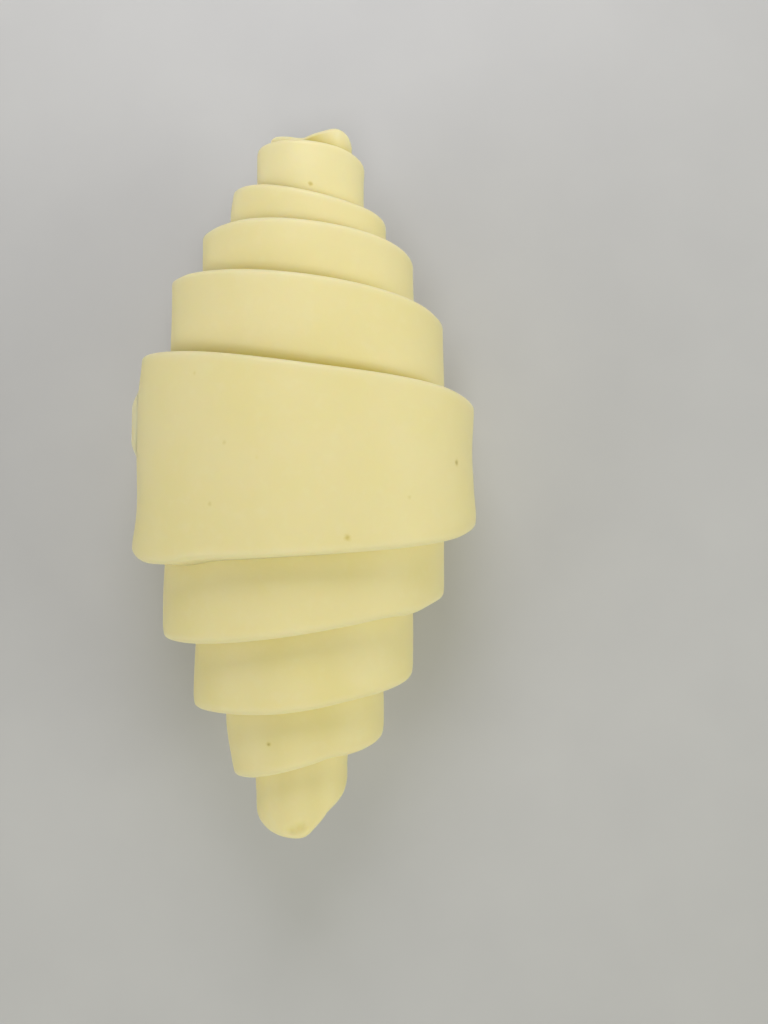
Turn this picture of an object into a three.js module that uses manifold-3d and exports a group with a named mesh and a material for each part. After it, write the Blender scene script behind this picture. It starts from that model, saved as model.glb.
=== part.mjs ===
// An unbaked croissant: a long triangle of laminated dough, rolled up from its base into a stepped spindle.
// Millimetres, +Z up. The roll lies along Y, and the origin is under the middle of its box, on the floor.
// Turns of the roll are counted outwards from the left (-X) side of the first step that shows. A quarter
// turn on is the top, a half turn the right side and three quarters the underside.
import * as THREE from 'three';
import { mergeVertices, toCreasedNormals } from 'three/addons/utils/BufferGeometryUtils.js';
import Module from 'manifold-3d';

// The dough sheet
const SHEET = 4.4; // thickness, and so how far each turn lies over the one below
const TIP_SHEET = 3.5; // thickness of the stretched tip, tucked under the roll
const EDGE_ROUND = 1.1; // radius of the outer corner of a cut edge
const BITE = 0.3; // how far a turn sinks into the one below, so that they join

// The roll
const CORE_RADIUS = 5.15; // outer radius at turn 0
const CORE_FILL = 1.4; // radius of the tight middle
const CORE_ENDS = [-46, 44]; // where the tight middle ends along the roll
const CORE_SIDES = 11; // facets round the tight middle
const STEPS_PER_TURN = 44.5; // the half sets the edges of each turn between those of the one below
const STEPS_PER_ARC = 11; // the roll is joined up from arcs of about a quarter turn
const FIRST_STEP = -26; // where the triangle's base is tucked in
const LAST_STEP = 221; // where its tip ends, low on the left side
const TIP_THINS = [4.4, 4.8]; // turns between which the sheet thins to its tip
const UNDER_TURN = 4.75; // where the tip's end passes under the roll

// The two long cut edges of the triangle: [turn, distance along the roll from mid-length]
const UPPER_EDGE = [
  [-0.6, 49.0],
  [-0.45, 48.2],
  [-0.2, 46.4],
  [0.0, 46.8],
  [0.25, 46.6],
  [0.5, 45.2],
  [1.0, 41.4],
  [1.5, 36.8],
  [2.0, 35.0],
  [2.5, 31.4],
  [3.0, 28.2],
  [3.5, 22.5],
  [4.0, 17.7],
  [4.5, 11.3],
  [4.75, 12.5],
  [4.94, 13.6],
  [4.97, 11.6],
];
const LOWER_EDGE = [
  [-0.6, -47.4],
  [-0.3, -47.6],
  [0.0, -47.2],
  [0.15, -48.4],
  [0.27, -49.2],
  [0.4, -45.4],
  [0.5, -43.7],
  [1.0, -42.3],
  [1.5, -36.8],
  [2.0, -32.6],
  [2.5, -28.0],
  [3.0, -23.1],
  [3.5, -17.5],
  [4.0, -12.1],
  [4.5, -6.9],
  [4.75, -1.4],
  [4.94, 2.0],
  [4.97, 4.5],
];

// How the upper end has come loose, and how the last turn widens towards the lower end
const LOOSE = 1.35; // extra radius of the first turn at its upper end
const LOOSE_ALONG = [30, 37]; // distances along the roll over which it comes loose
const LOOSE_TURNS = [0.5, 1.0]; // turns over which it is held down again
const EAR_LIFT = 3.0; // extra radius of the base's upper corner, which stands out as an ear
const EAR_ALONG = [38, 47]; // distances along the roll over which the ear lifts
const EAR_TURNS = [-0.6, -0.25]; // turns over which it lies down again
const FLARE = 0.025; // radius gained for each millimetre towards the lower end
const FLARE_TURNS = [3.5, 4.0]; // turns over which the widening sets in

// How the soft roll sags
const SAG = 0.86; // height of its upper half, as a share of the round
const FLOOR_SLOPE = 0.05; // how little of the round is left in the underside
const FLOOR_POWER = 6; // how suddenly the underside turns flat
const FLOOR_TRIM = 0.9; // depth of the flat spot that it rests on

// Stations across the flat of the sheet, as shares of its half width
const FLAT_STATIONS = [-1, -0.8, -0.6, 0, 0.6, 0.8, 1];
const CORNER_DIVISIONS = 1; // facets of a rounded corner
const FLOOR_SIZE = 200; // side of the block that cuts the underside flat
const MERGE_DISTANCE = 1e-4; // corners closer than this are one corner
const CREASE_ANGLE = Math.PI / 6; // facets that meet at less than this are shaded as one

const FIRST_TURN = FIRST_STEP / STEPS_PER_TURN;

const wasm = await Module();
wasm.setup();

// A smooth curve through [turn, value] pairs.
function trackOf(pairs) {
  const turns = pairs.map((pair) => pair[0]);
  const values = pairs.map((pair) => pair[1]);
  const curve = new THREE.CubicInterpolant(turns, values, 1);
  return (turn) => curve.evaluate(turn)[0];
}

const upperEdge = trackOf(UPPER_EDGE);
const lowerEdge = trackOf(LOWER_EDGE);

// 0 before the first of two bounds, 1 after the second, and smooth between.
function ease(value, [from, to]) {
  return THREE.MathUtils.smoothstep(value, from, to);
}

// Outer radius of a turn, at a place along the roll, as if the roll were round.
function outerRadius(turn, along) {
  const wound = CORE_RADIUS + SHEET * Math.max(turn, 0);
  const tight = Math.exp((SHEET * Math.min(turn, 0)) / CORE_RADIUS);
  const thinned = (SHEET - TIP_SHEET) * ease(turn, TIP_THINS);
  const loose = LOOSE * ease(along, LOOSE_ALONG) * (1 - ease(turn, LOOSE_TURNS));
  const ear = EAR_LIFT * ease(along, EAR_ALONG) * (1 - ease(turn, EAR_TURNS));
  const flare = -FLARE * along * ease(turn, FLARE_TURNS);
  return wound * tight - thinned + loose + ear + flare;
}

// Inner radius of a turn: it sinks into the turn below, and the first turn reaches in to the middle.
function innerRadius(turn) {
  if (turn - 1 < FIRST_TURN) return BITE;
  return outerRadius(turn - 1, 0) - BITE;
}

// Height of the sagged roll at a height of the round one, both from its axis.
function sagged(height, depth) {
  if (height >= 0) return SAG * height;
  const share = -height / depth;
  const flattened = ((SAG - FLOOR_SLOPE) / FLOOR_POWER) * share ** FLOOR_POWER;
  return -depth * (SAG * share - flattened);
}

const UNDERSIDE = outerRadius(UNDER_TURN, 0);
const AXIS_HEIGHT = -sagged(-UNDERSIDE, UNDERSIDE) - FLOOR_TRIM;

// Place in the finished roll of a point at a turn, a distance along it and a radius.
function rolled(turn, along, radius) {
  const angle = 2 * Math.PI * turn;
  const height = sagged(radius * Math.sin(angle), UNDERSIDE);
  return new THREE.Vector3(-radius * Math.cos(angle), along, AXIS_HEIGHT + height);
}

// Cross-section of the sheet. From -1 to 1 it stretches with the sheet, and the rounded corners beyond
// keep their size. Below the corners, one unit is the rest of the sheet's thickness.
function sheetSection() {
  const section = new THREE.Shape();
  const end = 1 + EDGE_ROUND;
  section.moveTo(FLAT_STATIONS[0], 0);
  FLAT_STATIONS.slice(1).forEach((station) => section.lineTo(station, 0));
  section.absarc(1, -EDGE_ROUND, EDGE_ROUND, Math.PI / 2, 0, true);
  section.lineTo(end, -end);
  section.lineTo(-end, -end);
  section.lineTo(-end, -EDGE_ROUND);
  section.absarc(-1, -EDGE_ROUND, EDGE_ROUND, Math.PI, Math.PI / 2, true);
  return section;
}

// A stretch of the sheet between two steps, wound into its place in the roll.
function woundArc(section, firstStep, lastStep) {
  const geometry = new THREE.ExtrudeGeometry(section, {
    steps: lastStep - firstStep,
    depth: lastStep - firstStep,
    curveSegments: CORNER_DIVISIONS,
    bevelEnabled: false,
  });
  const position = geometry.getAttribute('position');
  for (let i = 0; i < position.count; i += 1) {
    const turn = (firstStep + Math.round(position.getZ(i))) / STEPS_PER_TURN;
    const across = position.getX(i);
    const depth = -position.getY(i);
    const low = lowerEdge(turn) + EDGE_ROUND;
    const high = upperEdge(turn) - EDGE_ROUND;
    const flat = THREE.MathUtils.clamp(across, -1, 1);
    const along = (low + high) / 2 + ((high - low) / 2) * flat + (across - flat);
    const outer = outerRadius(turn, along);
    const corner = Math.min(depth, EDGE_ROUND);
    const radius = outer - corner - (depth - corner) * (outer - EDGE_ROUND - innerRadius(turn));
    position.setXYZ(i, ...rolled(turn, along, radius));
  }
  return geometry;
}

// The tight middle of the roll, which the first turn closes round.
function tightMiddle() {
  const [low, high] = CORE_ENDS;
  const geometry = new THREE.CylinderGeometry(CORE_FILL, CORE_FILL, high - low, CORE_SIDES);
  return geometry.translate(0, (low + high) / 2, AXIS_HEIGHT);
}

// A closed geometry as a solid that can be joined and cut.
function solidOf(geometry) {
  geometry.deleteAttribute('normal');
  geometry.deleteAttribute('uv');
  const merged = mergeVertices(geometry, MERGE_DISTANCE);
  const vertProperties = merged.getAttribute('position').array;
  const triVerts = new Uint32Array(merged.index.array);
  return new wasm.Manifold(new wasm.Mesh({ numProp: 3, vertProperties, triVerts }));
}

// A solid as a geometry, centred over the origin.
function geometryOf(solid) {
  const { vertProperties, triVerts } = solid.getMesh();
  const geometry = new THREE.BufferGeometry();
  geometry.setAttribute('position', new THREE.BufferAttribute(vertProperties, 3));
  geometry.setIndex(new THREE.BufferAttribute(triVerts, 1));
  geometry.computeBoundingBox();
  const middle = geometry.boundingBox.getCenter(new THREE.Vector3());
  geometry.translate(-middle.x, -middle.y, 0);
  return toCreasedNormals(geometry, CREASE_ANGLE);
}

// The roll itself, without the specks of empty space shut in where its arcs meet.
function largestOf(bodies) {
  return bodies.reduce((largest, body) => (body.volume() > largest.volume() ? body : largest));
}

// The whole roll, with the underside cut flat where it rests.
function rolledDough() {
  const section = sheetSection();
  let roll = solidOf(tightMiddle());
  for (let step = FIRST_STEP; step < LAST_STEP; step += STEPS_PER_ARC) {
    const arc = woundArc(section, step, Math.min(step + STEPS_PER_ARC, LAST_STEP));
    roll = roll.add(solidOf(arc));
  }
  const floor = new THREE.BoxGeometry(FLOOR_SIZE, FLOOR_SIZE, FLOOR_SIZE);
  floor.translate(0, 0, -FLOOR_SIZE / 2);
  return largestOf(roll.subtract(solidOf(floor)).decompose());
}

const dough = new THREE.MeshStandardMaterial({ color: 0xeee2ac, roughness: 0.6, metalness: 0 });
const roll = new THREE.Mesh(geometryOf(rolledDough()), dough);
roll.name = 'rolled_dough';

const croissant = new THREE.Group();
croissant.add(roll);

export default croissant;
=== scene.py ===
"""Dresses an unbaked croissant: a long triangle of laminated dough, rolled up from its base.

The frame is the solid's own, in metres with +Z up, and the roll lies along Y. The sizes of the dough
are in millimetres until its points are placed. Turns of the roll are counted outwards from the left
(-X) side of the first step that shows: a quarter turn on is the top, a half turn the right side and
three quarters the underside.
"""

import logging
import math
from dataclasses import dataclass, field
from enum import Enum
from typing import Any, Mapping, Sequence, Union

import bmesh
import bpy
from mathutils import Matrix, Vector, noise


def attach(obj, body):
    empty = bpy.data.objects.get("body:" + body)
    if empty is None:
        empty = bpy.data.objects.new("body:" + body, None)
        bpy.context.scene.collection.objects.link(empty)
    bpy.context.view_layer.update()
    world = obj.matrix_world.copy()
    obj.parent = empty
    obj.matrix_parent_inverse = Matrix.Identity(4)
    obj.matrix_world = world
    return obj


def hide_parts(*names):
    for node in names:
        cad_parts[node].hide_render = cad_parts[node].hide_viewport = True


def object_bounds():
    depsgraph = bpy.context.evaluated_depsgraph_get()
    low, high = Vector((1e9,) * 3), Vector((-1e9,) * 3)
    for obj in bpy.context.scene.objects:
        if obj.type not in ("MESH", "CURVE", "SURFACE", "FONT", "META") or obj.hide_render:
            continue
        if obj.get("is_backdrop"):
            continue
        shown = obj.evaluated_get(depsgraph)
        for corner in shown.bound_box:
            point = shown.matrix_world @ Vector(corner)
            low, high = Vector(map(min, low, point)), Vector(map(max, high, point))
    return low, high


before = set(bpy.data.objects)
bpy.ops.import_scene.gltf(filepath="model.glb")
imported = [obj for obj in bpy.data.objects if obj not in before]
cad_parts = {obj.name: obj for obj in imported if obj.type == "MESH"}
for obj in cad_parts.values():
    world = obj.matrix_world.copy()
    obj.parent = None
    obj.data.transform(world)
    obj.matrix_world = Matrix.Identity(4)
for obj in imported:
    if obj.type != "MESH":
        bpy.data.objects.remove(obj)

MM = 0.001
LOG = logging.getLogger("croissant")

Colour = tuple[float, float, float]
Box = tuple[Vector, Vector]


class Rim(Enum):
    """The edges of the sheet that are softened, each by its own amount."""

    CORNER = "corner"
    OUTER = "outer"
    INNER = "inner"


@dataclass(frozen=True)
class Span:
    """A stretch over which something sets in, from nothing at its start to all at its end."""

    start: float
    end: float

    def ease(self, value: float) -> float:
        """How far something has set in at a value, from 0 to 1."""
        share = min(max((value - self.start) / (self.end - self.start), 0.0), 1.0)
        return share * share * (3.0 - 2.0 * share)


@dataclass(frozen=True)
class CutEdge:
    """A long cut edge of the dough triangle, as a smooth curve through its places.

    Each place is a turn of the roll and a distance along it from mid-length.
    """

    places: tuple[tuple[float, float], ...]

    def along(self, turn: float) -> float:
        """Distance along the roll at which the edge crosses a turn.

        Args:
            turn: the turn of the roll.

        Returns:
            The distance from mid-length, in millimetres.
        """
        last = len(self.places) - 1
        turn = min(max(turn, self.places[0][0]), self.places[last][0])
        index = 0
        while index < last - 1 and turn > self.places[index + 1][0]:
            index += 1
        (turn_a, along_a), (turn_b, along_b) = self.places[index], self.places[index + 1]
        here = self._slope(index)
        before = self._slope(index - 1) if index > 0 else here
        after = self._slope(index + 1) if index + 1 < last else here
        width = turn_b - turn_a
        share = (turn - turn_a) / width
        leave = (before + here) / 2.0 * width
        arrive = (here + after) / 2.0 * width
        square, cube = share**2, share**3
        return (
            (2.0 * cube - 3.0 * square + 1.0) * along_a
            + (cube - 2.0 * square + share) * leave
            + (3.0 * square - 2.0 * cube) * along_b
            + (cube - square) * arrive
        )

    def _slope(self, index: int) -> float:
        """Slope of the straight line from one place to the next."""
        (turn_a, along_a), (turn_b, along_b) = self.places[index], self.places[index + 1]
        return (along_b - along_a) / (turn_b - turn_a)


@dataclass(frozen=True)
class Spot:
    """A soft spot on the sheet, strongest in its middle."""

    turn: float
    along: float
    turn_reach: float
    along_reach: float
    strength: float

    def at(self, turn: float, along: float) -> float:
        """Strength of the spot at a place on the sheet.

        Args:
            turn: the turn of the roll.
            along: the distance along it from mid-length.

        Returns:
            The strength, down to 0 far from its middle.
        """
        across = (turn - self.turn) / self.turn_reach
        down = (along - self.along) / self.along_reach
        return self.strength * math.exp(-across * across - down * down)


# Each turn of the roll starts a new row, and so does its tip.
UPPER_EDGE = CutEdge(
    (
        (-1.0, 47.9), (-0.94, 48.0), (-0.85, 47.7), (-0.75, 47.4), (-0.667, 48.0), (-0.63, 48.4),
        (-0.597, 48.3), (-0.567, 47.8), (-0.52, 46.2), (-0.45, 45.6), (-0.2, 45.5),
        (0.0, 45.8), (0.1, 46.1), (0.25, 46.0), (0.42, 45.1), (0.5, 44.6),
        (1.0, 40.6), (1.06, 40.1), (1.15, 39.6), (1.35, 37.4), (1.5, 36.5),
        (2.0, 33.9), (2.07, 33.5), (2.19, 33.7), (2.32, 32.8), (2.4, 32.0), (2.5, 30.9),
        (3.0, 27.5), (3.08, 26.7), (3.12, 26.6), (3.23, 25.8), (3.42, 23.1), (3.45, 22.5), (3.5, 22.0),
        (4.0, 16.6), (4.16, 15.5), (4.28, 13.6), (4.4, 12.1), (4.48, 10.6), (4.52, 10.4), (4.75, 12.4),
        (4.9, 13.3), (4.99, 13.2), (5.024, 12.6), (5.043, 11.6), (5.052, 9.6),
    )
)
LOWER_EDGE = CutEdge(
    (
        (-1.0, -45.0), (-0.5, -47.2), (-0.3, -47.4),
        (0.0, -46.8), (0.11, -48.0), (0.162, -48.7), (0.265, -49.3), (0.3, -49.0), (0.33, -47.9),
        (0.36, -46.7), (0.372, -46.1), (0.38, -45.9), (0.46, -44.2), (0.5, -43.4),
        (1.0, -41.9), (1.12, -40.9), (1.16, -40.5), (1.3, -38.0), (1.33, -37.4), (1.37, -37.3),
        (1.5, -36.4),
        (2.0, -32.2), (2.1, -31.5), (2.18, -31.0), (2.24, -30.5), (2.29, -29.8), (2.34, -29.0),
        (2.39, -28.5), (2.5, -27.6),
        (3.0, -22.4), (3.06, -22.1), (3.14, -21.6), (3.22, -20.5), (3.32, -18.6), (3.36, -17.9),
        (3.4, -17.7), (3.44, -16.9), (3.5, -16.4),
        (4.0, -10.6), (4.05, -10.6), (4.09, -11.3), (4.13, -11.2), (4.17, -10.4), (4.22, -9.9),
        (4.42, -7.8), (4.46, -7.0), (4.5, -6.3), (4.75, -1.4),
        (4.9, 0.8), (4.99, 1.4), (5.024, 2.1), (5.043, 3.2), (5.052, 5.3),
    )
)
# Dents left by the hands, in millimetres, or swellings where the strength is below zero.
PRESSES = (
    Spot(turn=-0.93, along=47.0, turn_reach=0.12, along_reach=5.0, strength=-1.35),
    Spot(turn=0.0, along=-45.5, turn_reach=0.12, along_reach=3.0, strength=0.25),
    Spot(turn=0.25, along=-48.2, turn_reach=0.016, along_reach=0.6, strength=0.5),
    Spot(turn=0.28, along=-47.6, turn_reach=0.016, along_reach=0.6, strength=0.5),
    Spot(turn=0.5, along=-41.0, turn_reach=0.1, along_reach=4.0, strength=0.7),
    Spot(turn=1.0, along=-43.0, turn_reach=0.16, along_reach=5.0, strength=1.4),
    Spot(turn=1.5, along=-33.0, turn_reach=0.12, along_reach=5.0, strength=-0.2),
    Spot(turn=0.5, along=42.0, turn_reach=0.12, along_reach=4.0, strength=0.25),
    Spot(turn=1.0, along=-38.5, turn_reach=0.14, along_reach=4.0, strength=0.3),
    Spot(turn=1.0, along=36.5, turn_reach=0.12, along_reach=3.5, strength=-0.7),
    Spot(turn=2.0, along=-28.0, turn_reach=0.12, along_reach=5.0, strength=-0.2),
    Spot(turn=2.5, along=29.5, turn_reach=0.14, along_reach=6.0, strength=0.45),
    Spot(turn=3.0, along=24.0, turn_reach=0.12, along_reach=7.0, strength=0.3),
    Spot(turn=3.0, along=-17.0, turn_reach=0.12, along_reach=6.0, strength=-0.2),
    Spot(turn=3.5, along=23.0, turn_reach=0.14, along_reach=9.0, strength=0.5),
    Spot(turn=4.0, along=16.0, turn_reach=0.12, along_reach=3.5, strength=0.5),
    Spot(turn=4.0, along=-4.0, turn_reach=0.12, along_reach=4.5, strength=0.4),
    Spot(turn=4.0, along=-10.5, turn_reach=0.12, along_reach=2.5, strength=-0.25),
    Spot(turn=4.5, along=4.0, turn_reach=0.12, along_reach=4.0, strength=0.25),
    Spot(turn=4.5, along=-5.0, turn_reach=0.12, along_reach=2.5, strength=-0.2),
)
# Painted shade, as a share: in the valley beside the ear and in two dents near the lower end.
SHADE_SPOTS = (
    Spot(turn=-0.71, along=48.0, turn_reach=0.045, along_reach=4.0, strength=0.5),
    Spot(turn=0.25, along=-48.2, turn_reach=0.018, along_reach=0.5, strength=0.25),
    Spot(turn=0.28, along=-47.6, turn_reach=0.018, along_reach=0.5, strength=0.25),
)
# Painted highlights, as a share: the ear's ridge and the face beside it, the tip's lip, and a broad
# paler patch over the top near the upper end.
HIGHLIGHT_SPOTS = (
    Spot(turn=-0.63, along=48.0, turn_reach=0.018, along_reach=3.0, strength=1.0),
    Spot(turn=-0.57, along=48.0, turn_reach=0.045, along_reach=3.5, strength=0.6),
    Spot(turn=5.05, along=7.4, turn_reach=0.05, along_reach=6.0, strength=1.0),
    Spot(turn=0.3, along=43.0, turn_reach=1.2, along_reach=9.0, strength=0.5),
)


class Wire:
    """A value in a material's node tree, which arithmetic turns into Math nodes."""

    def __init__(self, bench: "NodeBench", socket: bpy.types.NodeSocket) -> None:
        """Holds a socket of a node on a bench."""
        self.bench = bench
        self.socket = socket

    def __add__(self, other: "Number") -> "Wire":
        """This value plus another."""
        return self.bench.sum("ADD", self, other)

    def __radd__(self, other: "Number") -> "Wire":
        """Another value plus this one."""
        return self.bench.sum("ADD", other, self)

    def __sub__(self, other: "Number") -> "Wire":
        """This value less another."""
        return self.bench.sum("SUBTRACT", self, other)

    def __rsub__(self, other: "Number") -> "Wire":
        """Another value less this one."""
        return self.bench.sum("SUBTRACT", other, self)

    def __mul__(self, other: "Number") -> "Wire":
        """This value times another."""
        return self.bench.sum("MULTIPLY", self, other)

    def __rmul__(self, other: "Number") -> "Wire":
        """Another value times this one."""
        return self.bench.sum("MULTIPLY", other, self)


Number = Union[float, Wire]


class NodeBench:
    """Where the nodes of one material are made and joined."""

    def __init__(self, material: bpy.types.Material) -> None:
        """Clears a material's node tree for new nodes.

        Args:
            material: the material to work on.
        """
        material.use_nodes = True
        self.tree = material.node_tree
        self.tree.nodes.clear()

    def node(
        self, kind: str, settings: Mapping[str, Any], sockets: Mapping[Union[int, str], Any]
    ) -> bpy.types.Node:
        """Adds a node.

        Args:
            kind: the node's type.
            settings: its own settings, which are set first.
            sockets: the value or the wire of each input socket.

        Returns:
            The node.
        """
        node = self.tree.nodes.new(kind)
        for name, value in settings.items():
            setattr(node, name, value)
        for key, value in sockets.items():
            if isinstance(value, Wire):
                self.tree.links.new(value.socket, node.inputs[key])
            else:
                node.inputs[key].default_value = value
        return node

    def wire(
        self,
        kind: str,
        settings: Mapping[str, Any],
        sockets: Mapping[Union[int, str], Any],
        output: Union[int, str] = 0,
    ) -> Wire:
        """Adds a node and gives one of its outputs.

        Args:
            kind: the node's type.
            settings: its own settings.
            sockets: the value or the wire of each input socket.
            output: which output to give.

        Returns:
            The output as a wire.
        """
        return Wire(self, self.node(kind, settings, sockets).outputs[output])

    def sum(self, operation: str, first: Number, second: Number) -> Wire:
        """A Math node on two values."""
        return self.wire("ShaderNodeMath", {"operation": operation}, {0: first, 1: second})

    def place(self) -> Wire:
        """Place on the piece, in metres."""
        return self.wire("ShaderNodeTexCoord", {}, {}, "Object")

    def grain(self, place: Wire, size: float, detail: float = 2.0, roughness: float = 0.5) -> Wire:
        """Soft uneven patches.

        Args:
            place: the place on the piece.
            size: how large a patch is, in millimetres.
            detail: how many finer layers are laid over.
            roughness: how strong the finer layers are.

        Returns:
            A value that is 0.5 on average.
        """
        sockets = {
            "Vector": place,
            "Scale": 1.0 / (size * MM),
            "Detail": detail,
            "Roughness": roughness,
        }
        return self.wire("ShaderNodeTexNoise", {}, sockets, "Fac")

    def step(self, value: Number, span: Span) -> Wire:
        """A value eased from 0 at the start of a span to 1 at its end."""
        sockets = {0: value, 1: span.start, 2: span.end, 3: 0.0, 4: 1.0}
        return self.wire("ShaderNodeMapRange", {"interpolation_type": "SMOOTHSTEP"}, sockets)

    def blend(self, share: Number, first: Union[Colour, Wire], second: Union[Colour, Wire]) -> Wire:
        """A colour between two others.

        Args:
            share: how much of the second colour.
            first: the colour at share 0.
            second: the colour at share 1.

        Returns:
            The mixed colour.
        """
        colours = [c if isinstance(c, Wire) else (*c, 1.0) for c in (first, second)]
        settings = {"data_type": "RGBA"}
        return self.wire("ShaderNodeMix", settings, {0: share, 6: colours[0], 7: colours[1]}, 2)

    def finish(self, shader: bpy.types.Node) -> None:
        """Joins a shader to the material's surface."""
        self.node("ShaderNodeOutputMaterial", {}, {"Surface": Wire(self, shader.outputs[0])})


@dataclass(frozen=True)
class Speck:
    """A fleck in the skin of the dough: a soft yellow stain with a darker heart.

    Its place and radius are in millimetres; the stain and the heart are shares of their colours.
    """

    place: tuple[float, float, float]
    radius: float
    stain: float
    heart: float


SPECKS = (
    Speck((21.72, 2.51, 27.31), 0.85, 0.4, 0.5),
    Speck((7.88, -7.07, 37.15), 0.65, 0.6, 0.15),
    Speck((-2.69, -35.25, 26.33), 0.5, 0.5, 0.5),
    Speck((1.71, 40.21, 23.84), 0.5, 0.6, 0.2),
    Speck((-7.23, 4.25, 36.57), 0.45, 0.2, 0.08),
    Speck((-3.16, 2.5, 37.45), 0.45, 0.2, 0.08),
    Speck((-9.06, -3.19, 36.08), 0.45, 0.2, 0.08),
    Speck((15.4, -2.16, 33.79), 0.45, 0.2, 0.08),
    Speck((-11.4, 12.83, 34.63), 0.45, 0.2, 0.08),
)


@dataclass(frozen=True)
class DoughFinish:
    """Raw laminated dough: pale, soft and smooth, with butter patches, painted shade and painted
    highlights.
    """

    cream: Colour = (0.78, 0.696, 0.352)
    butter: Colour = (0.77, 0.684, 0.302)
    pale: Colour = (0.8, 0.73, 0.405)
    patch_size: float = 9.0
    patch_steps: Span = Span(0.35, 0.7)
    patch_share: float = 0.55
    # Painted shade: yellower towards the lower end, over this span along the roll, in millimetres.
    painted_shade_along: Span = Span(15.0, -45.0)
    freckle_size: float = 1.8
    freckle_steps: Span = Span(0.5, 0.75)
    freckle_share: float = 0.25
    # A painted highlight along the cut edges, and painted shade along the seams
    rim: Colour = (0.79, 0.74, 0.46)
    highlight_layer: str = "painted_edge_highlight"
    highlight_width: float = 1.4
    highlight_share: float = 0.5
    seam: Colour = (0.59, 0.48, 0.03)
    seam_shade_layer: str = "seam"
    seam_shade_width: float = 2.2
    # Flecks
    specks: tuple[Speck, ...] = SPECKS
    stain: Colour = (0.62, 0.5, 0.08)
    heart: Colour = (0.3, 0.23, 0.05)
    heart_share: float = 0.6
    raggedness: float = 0.5
    # The fine grain and the sheen of the skin, and how far light goes into the dough
    skin_size: float = 0.7
    skin_detail: float = 3.0
    skin_depth: float = 0.03
    skin_strength: float = 0.5
    roughness: float = 0.48
    freckle_roughness: float = 0.14
    sheen: float = 0.35
    soft_weight: float = 0.4
    soft_reach: Colour = (0.9, 0.65, 0.3)

    def material(self) -> bpy.types.Material:
        """Makes the dough's material.

        Returns:
            The material.
        """
        material = bpy.data.materials.new("raw_dough_skin")
        bench = NodeBench(material)
        place = bench.place()
        patches = bench.step(bench.grain(place, self.patch_size), self.patch_steps)
        freckles = bench.step(bench.grain(place, self.freckle_size), self.freckle_steps)
        along = bench.wire("ShaderNodeSeparateXYZ", {}, {0: place}, "Y")
        # Painted shade: yellower and a little darker towards the lower end, mixed in with the butter
        # patches.
        yellow = bench.step(along, Span(self.painted_shade_along.start * MM, self.painted_shade_along.end * MM))
        butter = self.patch_share * patches + (1.0 - self.patch_share) * yellow
        colour = bench.blend(butter, self.cream, self.butter)
        colour = bench.blend(self.freckle_share * freckles, colour, self.pale)
        # Painted highlight along the cut edges and on the highlight spots.
        rim = bench.wire("ShaderNodeAttribute", {"attribute_name": self.highlight_layer}, {}, "Fac")
        colour = bench.blend(self.highlight_share * rim, colour, self.rim)
        # Painted shade along the seams and in the shade spots.
        seam = bench.wire("ShaderNodeAttribute", {"attribute_name": self.seam_shade_layer}, {}, "Fac")
        colour = bench.blend(seam, colour, self.seam)
        colour = self._specked(bench, place, colour)
        skin = bench.grain(place, self.skin_size, detail=self.skin_detail)
        relief = {"Strength": self.skin_strength, "Distance": self.skin_depth * MM, "Height": skin}
        bump = bench.wire("ShaderNodeBump", {}, relief)
        shader = bench.node(
            "ShaderNodeBsdfPrincipled",
            {},
            {
                "Base Color": colour,
                "Roughness": self.roughness + self.freckle_roughness * freckles,
                "Normal": bump,
                "Specular IOR Level": self.sheen,
                "Subsurface Weight": self.soft_weight,
                "Subsurface Radius": self.soft_reach,
                "Subsurface Scale": MM,
            },
        )
        bench.finish(shader)
        return material

    def _specked(self, bench: NodeBench, place: Wire, colour: Wire) -> Wire:
        """Lays the flecks over the skin.

        Args:
            bench: where the material's nodes are made.
            place: the place on the piece.
            colour: the colour of the skin without them.

        Returns:
            The colour with them.
        """
        ragged = self.raggedness * MM * (bench.grain(place, self.skin_size) - 0.5)
        stains: Number = 0.0
        hearts: Number = 0.0
        for speck in self.specks:
            radius = speck.radius * MM
            sockets = {0: place, 1: Vector(speck.place) * MM}
            distance = bench.wire("ShaderNodeVectorMath", {"operation": "DISTANCE"}, sockets, "Value")
            near = ragged + distance
            stained = 1.0 - bench.step(near, Span(0.0, radius))
            darkened = 1.0 - bench.step(near, Span(0.0, self.heart_share * radius))
            stains = stains + speck.stain * stained
            hearts = hearts + speck.heart * darkened
        colour = bench.blend(stains, colour, self.stain)
        return bench.blend(hearts, colour, self.heart)


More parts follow.
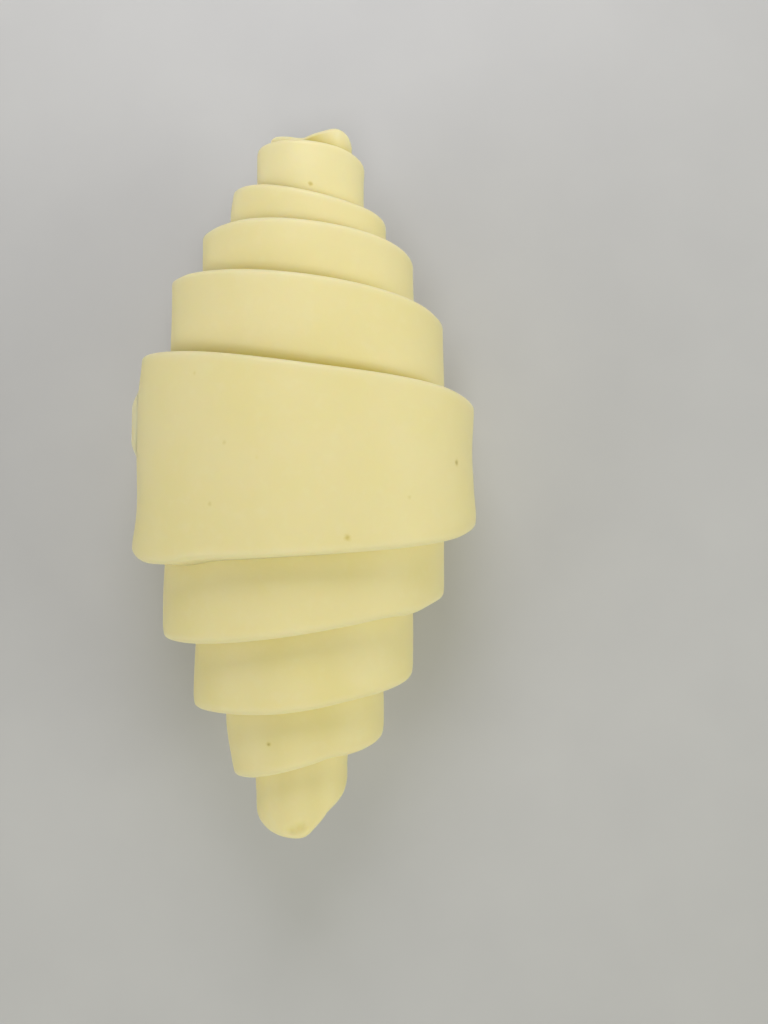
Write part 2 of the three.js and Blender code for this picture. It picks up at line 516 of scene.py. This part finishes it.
@dataclass
class DoughRoll:
    """The dough sheet, cut to a long triangle and rolled up from its base."""

    finish: DoughFinish
    node: str = "rolled_dough"
    slot: str = "raw_dough"
    # The sheet: its cut edges, its thickness, and its tip, which is pressed into the turn below
    upper_edge: CutEdge = UPPER_EDGE
    lower_edge: CutEdge = LOWER_EDGE
    sheet: float = 4.4
    tip_sheet: float = 3.5
    tip_thins: Span = Span(4.4, 4.8)
    tip_feathers: Span = Span(4.88, 5.09)
    tip_edge: float = 3.2
    tip_sink: float = 0.14
    thinnest: float = 0.04
    # The roll: its axis, its tight core, and the turns at which the sheet starts, goes under and ends
    axis_place: tuple[float, float] = (0.22, 0.21)
    core_radius: float = 5.15
    core_hole: float = 0.15
    gap: float = 0.03
    first_turn: float = -1.0
    under_turn: float = 4.75
    last_turn: float = 5.052
    taper: float = 0.012
    flare: float = 0.018
    flare_turns: Span = Span(3.5, 4.0)
    # The upper end, which has come loose, and its ear
    loose: float = 1.35
    loose_along: Span = Span(30.0, 37.0)
    loose_turns: Span = Span(0.5, 1.0)
    ear_lift: float = 3.0
    ear_along: Span = Span(38.0, 47.0)
    ear_start: float = -0.74
    ear_ridge: float = -0.635
    ear_end: float = -0.25
    # Softened edges, a lower rim that droops, and cut faces that lean out towards their feet
    rounds: Mapping[Rim, tuple[float, int]] = field(
        default_factory=lambda: {Rim.CORNER: (0.6, 3), Rim.OUTER: (0.55, 4), Rim.INNER: (0.05, 1)}
    )
    sharp_angle: float = 40.0
    droop: float = 0.4
    droop_side: float = 0.15
    droop_width: float = 1.9
    lower_lean: float = 0.35
    upper_lean: float = 0.3
    lean_width: float = 3.0
    # Grooves along the seams, and painted shade in them
    groove: float = 0.42
    groove_side: float = 0.25
    groove_width: float = 1.8
    groove_reach: float = 5.0
    seam_ends: Span = Span(3.85, 3.97)
    seam_least: float = 0.3
    seam_grows: float = 0.2
    seam_side: float = 0.75
    lower_seam_shade: float = 0.12
    # How the soft roll sags
    sag: float = 0.86
    floor_slope: float = 0.05
    floor_power: int = 6
    floor_trim: float = 0.9
    # Unevenness from the hands, and spots of painted shade and painted highlight
    presses: Sequence[Spot] = PRESSES
    shade_spots: Sequence[Spot] = SHADE_SPOTS
    highlight_spots: Sequence[Spot] = HIGHLIGHT_SPOTS
    wobble: float = 0.1
    wobble_size: float = 9.0
    # The mesh of the flat sheet, on which one turn is a lap long
    lap: float = 157.0
    rows_per_turn: int = 84
    columns: int = 64
    covered: float = 0.3
    margin: float = 0.8

    def build(self) -> bpy.types.Object:
        """Cuts, softens, rolls and dresses the dough.

        Returns:
            The finished piece.
        """
        mesh = bmesh.new()
        self._cut_sheet(mesh)
        for rim in Rim:
            self._soften(mesh, rim)
        self._roll_up(mesh)
        data = bpy.data.meshes.new("croissant_roll")
        mesh.to_mesh(data)
        mesh.free()
        data.polygons.foreach_set("use_smooth", [True] * len(data.polygons))
        roll = bpy.data.objects.new("croissant_roll", data)
        bpy.context.scene.collection.objects.link(roll)
        data.materials.append(self.finish.material())
        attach(roll, "root")
        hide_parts(self.node)
        return roll

    def _cut_sheet(self, mesh: bmesh.types.BMesh) -> None:
        """Lays out the triangle flat, with its outer face at height 0.

        Args:
            mesh: the empty mesh to fill.
        """
        rows = round((self.last_turn - self.first_turn) * self.rows_per_turn)
        bmesh.ops.create_grid(mesh, x_segments=rows, y_segments=self.columns, size=1.0)
        for vert in mesh.verts:
            turn = self.first_turn + (self.last_turn - self.first_turn) * (vert.co.x + 1.0) / 2.0
            vert.co = (turn * self.lap, self._column_along(turn, vert.co.y), 0.0)
        under = bmesh.ops.extrude_face_region(mesh, geom=mesh.faces[:], use_keep_orig=True)
        verts = [part for part in under["geom"] if isinstance(part, bmesh.types.BMVert)]
        bmesh.ops.translate(mesh, verts=verts, vec=(0.0, 0.0, -self.sheet))
        bmesh.ops.recalc_face_normals(mesh, faces=mesh.faces[:])

    def _column_along(self, turn: float, share: float) -> float:
        """Distance along the roll of a column of the sheet.

        Args:
            turn: the turn of the roll.
            share: the column, from -1 at the lower edge to 1 at the upper.

        Returns:
            The distance from mid-length, with the columns closer together at the edges and at the
            seams with the next turn.
        """
        low, high = self.lower_edge.along(turn), self.upper_edge.along(turn)
        inside = 1.0 - 2.0 / self.columns
        if abs(share) > (inside + 1.0) / 2.0:
            return high if share > 0.0 else low
        middle, half = (low + high) / 2.0, (high - low) / 2.0 - self.margin
        seam_high = min(self.upper_edge.along(turn + 1.0), middle + half - self.margin)
        seam_low = max(self.lower_edge.along(turn + 1.0), middle - half + self.margin)
        spread = share / inside
        if abs(spread) <= self.covered:
            swing = math.sin(math.pi / 2.0 * spread / self.covered)
            return (seam_high + seam_low) / 2.0 + (seam_high - seam_low) / 2.0 * swing
        shown = Span(self.covered, 1.0).ease(abs(spread))
        if spread > 0.0:
            return seam_high + (middle + half - seam_high) * shown
        return seam_low + (middle - half - seam_low) * shown

    def _soften(self, mesh: bmesh.types.BMesh, rim: Rim) -> None:
        """Rounds one kind of edge of the flat sheet.

        Args:
            mesh: the flat sheet.
            rim: which edges to round.
        """
        offset, segments = self.rounds[rim]
        heights = {
            Rim.CORNER: {0.0, -self.sheet},
            Rim.OUTER: {0.0},
            Rim.INNER: {-self.sheet},
        }[rim]
        edges = [
            edge
            for edge in mesh.edges
            if {round(vert.co.z, 3) for vert in edge.verts} == heights
            and edge.calc_face_angle(0.0) > math.radians(self.sharp_angle)
        ]
        bmesh.ops.bevel(
            mesh,
            geom=edges,
            offset=offset,
            offset_type="OFFSET",
            segments=segments,
            profile=0.5,
            affect="EDGES",
            material=-1,
            clamp_overlap=False,
        )

    def _roll_up(self, mesh: bmesh.types.BMesh) -> None:
        """Winds the flat sheet into the roll.

        Args:
            mesh: the flat sheet with softened edges.
        """
        highlights = mesh.verts.layers.float.new(self.finish.highlight_layer)
        seams = mesh.verts.layers.float.new(self.finish.seam_shade_layer)
        for vert in mesh.verts:
            turn, along, depth = vert.co.x / self.lap, vert.co.y, -vert.co.z
            # Painted highlight near the cut edges and on the highlight spots.
            edge = Span(self.finish.highlight_width, 0.0).ease(self._inside(turn, along))
            vert[highlights] = max(edge, max(highlight.at(turn, along) for highlight in self.highlight_spots))
            # Painted shade along the seams and in the shade spots, on the outer face.
            if depth < self.gap:
                vert[seams] = min(self._painted_shade(turn, along), 1.0)
            vert.co = self._rolled(turn, along, depth) * MM
        bmesh.ops.recalc_face_normals(mesh, faces=mesh.faces[:])

    def _outer_radius(self, turn: float, along: float) -> float:
        """Outer radius of a turn as if the roll were round.

        Args:
            turn: the turn of the roll.
            along: the distance along it from mid-length.

        Returns:
            The radius in millimetres.
        """
        wound = self.core_radius + self.sheet * max(turn, 0.0)
        tight = math.exp(self.sheet * min(turn, 0.0) / self.core_radius)
        thinned = (self.sheet - self.tip_sheet) * self.tip_thins.ease(turn)
        thinned += self.tip_sheet * self.tip_feathers.ease(turn)
        loose = self.loose * self.loose_along.ease(along) * (1.0 - self.loose_turns.ease(turn))
        rise = max((turn - self.ear_start) / (self.ear_ridge - self.ear_start), 0.0)
        fall = 1.0 - Span(self.ear_ridge, self.ear_end).ease(turn)
        ear = self.ear_lift * self.ear_along.ease(along) * min(rise, fall)
        flare = -self.flare * along * self.flare_turns.ease(turn) - self.taper * min(along, 0.0)
        return wound * tight - thinned + loose + ear + flare

    def _skin_radius(self, turn: float, along: float) -> float:
        """Outer radius of a turn with the unevenness of hand-rolled dough.

        Args:
            turn: the turn of the roll.
            along: the distance along it from mid-length.

        Returns:
            The radius in millimetres.
        """
        waves = noise.noise(Vector((turn * self.wobble_size, along / self.wobble_size, 0.0)))
        pressed = sum(press.at(turn, along) for press in self.presses)
        rim = max(1.0 - (along - self.lower_edge.along(turn)) / self.droop_width, 0.0)
        droop = self.droop_side + (self.droop - self.droop_side) * self._rise(turn)
        dropped = droop * min(rim, 1.0) ** 2 + self._groove_depth(turn, along)
        return self._outer_radius(turn, along) + self.wobble * waves - pressed - dropped

    def _rise(self, turn: float) -> float:
        """How near a turn is to the top of the roll, from 0 at its sides to 1."""
        return max(math.sin(2.0 * math.pi * turn), 0.0)

    def _seam(self, beyond: float, outside: float, covered: float) -> float:
        """How near a place is to the edge of the turn that lies over it.

        Args:
            beyond: how far the place is past that edge, below zero under the turn.
            outside: how far the seam reaches on the side that shows.
            covered: how far it reaches under the turn.

        Returns:
            1 at the seam, down to 0 at its reach.
        """
        share = max(1.0 - abs(beyond) / (outside if beyond > 0.0 else covered), 0.0)
        return share * share

    def _seam_strength(self, turn: float) -> float:
        """How sharply the next turn's upper edge presses into a turn, more so in the outer turns, and
        how strong the painted shade at that seam is.

        Args:
            turn: the turn of the roll.

        Returns:
            The strength, 0 where no turn lies over this one.
        """
        grown = self.seam_least + self.seam_grows * max(turn, 0.0)
        side = 1.0 - self.seam_side * math.cos(2.0 * math.pi * turn)
        return grown * side * (1.0 - self.seam_ends.ease(turn))

    def _painted_shade(self, turn: float, along: float) -> float:
        """How much painted shade the dough has along its seams and in its shade spots.

        Args:
            turn: the turn of the roll.
            along: the distance along it from mid-length.

        Returns:
            The share of the seam's painted shade colour.
        """
        width = self.finish.seam_shade_width
        upper = self._seam(along - self.upper_edge.along(turn + 1.0), width, width)
        lower = self._seam(self.lower_edge.along(turn + 1.0) - along, width, width)
        shaded = sum(shade_spot.at(turn, along) for shade_spot in self.shade_spots)
        lower *= self.lower_seam_shade * (1.0 - self.seam_ends.ease(turn))
        return upper * self._seam_strength(turn) + lower + shaded

    def _groove_depth(self, turn: float, along: float) -> float:
        """Depth of the groove that the next turn's upper edge presses into this one.

        Args:
            turn: the turn of the roll.
            along: the distance along it from mid-length.

        Returns:
            The depth in millimetres.
        """
        depth = self.groove_side + (self.groove - self.groove_side) * self._rise(turn)
        beyond = along - self.upper_edge.along(turn + 1.0)
        near = self._seam(beyond, self.groove_width, self.groove_reach)
        return depth * self._seam_strength(turn) * near

    def _inner_radius(self, turn: float, along: float) -> float:
        """Inner radius of a turn, which lies on the turn below.

        Args:
            turn: the turn of the roll.
            along: the distance along it from mid-length.

        Returns:
            The radius in millimetres.
        """
        if turn - 1.0 < self.first_turn:
            return self.core_hole
        return self._skin_radius(turn - 1.0, along) + self.gap

    def _sagged(self, height: float, depth: float) -> float:
        """Height of the sagged roll at a height of the round one, both from its axis.

        Args:
            height: the height in the round roll.
            depth: the depth of the round roll's underside.

        Returns:
            The height in millimetres.
        """
        if height >= 0.0:
            return self.sag * height
        share = -height / depth
        power = self.floor_power
        flattened = (self.sag - self.floor_slope) / power * share**power
        return -depth * (self.sag * share - flattened)

    def _rolled(self, turn: float, along: float, depth: float) -> Vector:
        """Place in the finished roll of a point of the sheet.

        Args:
            turn: the turn of the roll.
            along: the distance along it from mid-length.
            depth: the depth below the sheet's outer face.

        Returns:
            The place in millimetres.
        """
        inner = self._inner_radius(turn, along)
        outer = max(self._skin_radius(turn, along), inner + self.thinnest)
        pressed = self._feathered(turn, along)
        outer -= (outer - inner - self.thinnest) * pressed
        radius = outer - depth / self.sheet * (outer - inner) - self.tip_sink * pressed**2
        angle = 2.0 * math.pi * turn
        underside = self._outer_radius(self.under_turn, 0.0)
        axis_height = -self._sagged(-underside, underside) - self.floor_trim
        height = axis_height + self._sagged(radius * math.sin(angle), underside)
        across, mid_length = self.axis_place
        leant = mid_length + along + depth / self.sheet * self._lean(turn, along)
        return Vector((across - radius * math.cos(angle), leant, max(height, 0.0)))

    def _feathered(self, turn: float, along: float) -> float:
        """How far the tip is pressed thin towards its cut edges, from 0 to 1."""
        edge = Span(self.tip_edge, 0.0).ease(self._inside(turn, along))
        return math.sqrt(self.tip_feathers.ease(turn)) * edge

    def _inside(self, turn: float, along: float) -> float:
        """How far a place is inside the cut edges of the sheet, in millimetres."""
        low, high = self.lower_edge.along(turn), self.upper_edge.along(turn)
        return min(along - low, high - along, (self.last_turn - turn) * self.lap)

    def _lean(self, turn: float, along: float) -> float:
        """How far the inner face reaches out beyond the outer one at a cut edge.

        Args:
            turn: the turn of the roll.
            along: the distance along it from mid-length.

        Returns:
            The distance along the roll in millimetres.
        """
        near = Span(self.lean_width, 0.0)
        upper = self.upper_lean * near.ease(self.upper_edge.along(turn) - along)
        return upper - self.lower_lean * near.ease(along - self.lower_edge.along(turn))


@dataclass(frozen=True)
class FloorFinish:
    """A plain pale floor with a faint unevenness."""

    light: Colour = (0.53, 0.53, 0.515)
    dark: Colour = (0.49, 0.49, 0.48)
    patch_size: float = 14.0
    patch_detail: float = 4.0
    roughness: float = 0.8

    def material(self) -> bpy.types.Material:
        """Makes the floor's material.

        Returns:
            The material.
        """
        material = bpy.data.materials.new("pale_floor")
        bench = NodeBench(material)
        patches = bench.grain(bench.place(), self.patch_size, detail=self.patch_detail)
        colour = bench.blend(patches, self.light, self.dark)
        sockets = {"Base Color": colour, "Roughness": self.roughness}
        shader = bench.node("ShaderNodeBsdfPrincipled", {}, sockets)
        bench.finish(shader)
        return material


@dataclass(frozen=True)
class SoftLight:
    """A large soft light that points at the middle of the roll. Sizes in metres, power in watts."""

    name: str
    place: tuple[float, float, float]
    size: float
    power: float
    colour: Colour

    def hang(self, target: Vector) -> None:
        """Hangs the light.

        Args:
            target: the point that it is aimed at.
        """
        light = bpy.data.lights.new(self.name, "AREA")
        light.shape = "DISK"
        light.size = self.size
        light.energy = self.power
        light.color = self.colour
        holder = bpy.data.objects.new(self.name, light)
        holder.location = self.place
        holder.rotation_euler = (target - Vector(self.place)).to_track_quat("-Z", "Y").to_euler()
        bpy.context.scene.collection.objects.link(holder)


@dataclass(frozen=True)
class Studio:
    """The floor, the lights and the camera above the roll."""

    floor_finish: FloorFinish = FloorFinish()
    floor_side: float = 3.0
    sky: Colour = (1.0, 1.0, 0.88)
    sky_strength: float = 0.262
    lights: tuple[SoftLight, ...] = (
        SoftLight("lamp", (0.0, -1.15, 2.6), 0.8, 13.3, (1.0, 1.0, 1.0)),
        SoftLight("left_panel", (-0.75, -0.35, 0.38), 0.6, 2.5, (1.0, 0.99, 1.0)),
        SoftLight("right_panel", (0.8, -0.15, 0.38), 0.6, 3.3, (1.0, 1.0, 0.92)),
        SoftLight("near_panel", (0.0, -0.6, 0.33), 0.5, 0.55, (1.0, 0.98, 0.8)),
        SoftLight("end_panel", (0.0, 0.17, 0.16), 0.12, 0.22, (1.0, 0.98, 1.1)),
    )
    camera_place: tuple[float, float, float] = (0.01222, -0.00163, 0.1459)
    camera_roll: float = 0.013
    camera_shift: float = -0.0186
    lens: float = 31.64

    def build(self, solid: Box) -> None:
        """Sets up the studio round the roll.

        Args:
            solid: the box of the solid.
        """
        self._lay_floor()
        self._light_sky()
        middle = (solid[0] + solid[1]) / 2.0
        for light in self.lights:
            light.hang(middle)
        self._set_camera()
        bpy.context.scene.view_settings.view_transform = "Standard"

    def _lay_floor(self) -> None:
        """Lays a wide floor under the roll."""
        mesh = bmesh.new()
        bmesh.ops.create_grid(mesh, x_segments=1, y_segments=1, size=self.floor_side / 2.0)
        data = bpy.data.meshes.new("floor")
        mesh.to_mesh(data)
        mesh.free()
        data.materials.append(self.floor_finish.material())
        floor = bpy.data.objects.new("floor", data)
        bpy.context.scene.collection.objects.link(floor)
        floor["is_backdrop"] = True

    def _light_sky(self) -> None:
        """Gives an even light from all round."""
        world = bpy.data.worlds.new("sky")
        world.use_nodes = True
        background = world.node_tree.nodes["Background"]
        background.inputs["Color"].default_value = (*self.sky, 1.0)
        background.inputs["Strength"].default_value = self.sky_strength
        bpy.context.scene.world = world

    def _set_camera(self) -> None:
        """Hangs the camera over the roll, looking down."""
        lens = bpy.data.cameras.new("overhead")
        lens.lens = self.lens
        lens.shift_y = self.camera_shift
        lens.clip_start = MM
        camera = bpy.data.objects.new("overhead", lens)
        camera.location = self.camera_place
        camera.rotation_euler = (0.0, 0.0, self.camera_roll)
        bpy.context.scene.collection.objects.link(camera)
        bpy.context.scene.camera = camera


def main() -> None:
    """Builds the croissant and the studio round it."""
    logging.basicConfig(level=logging.INFO, format="%(name)s: %(message)s")
    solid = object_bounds()
    roll = DoughRoll(DoughFinish()).build()
    LOG.info("%s: %d faces", roll.name, len(roll.data.polygons))
    Studio().build(solid)
    LOG.info("floor, lights and camera")


if __name__ == "__main__":
    main()
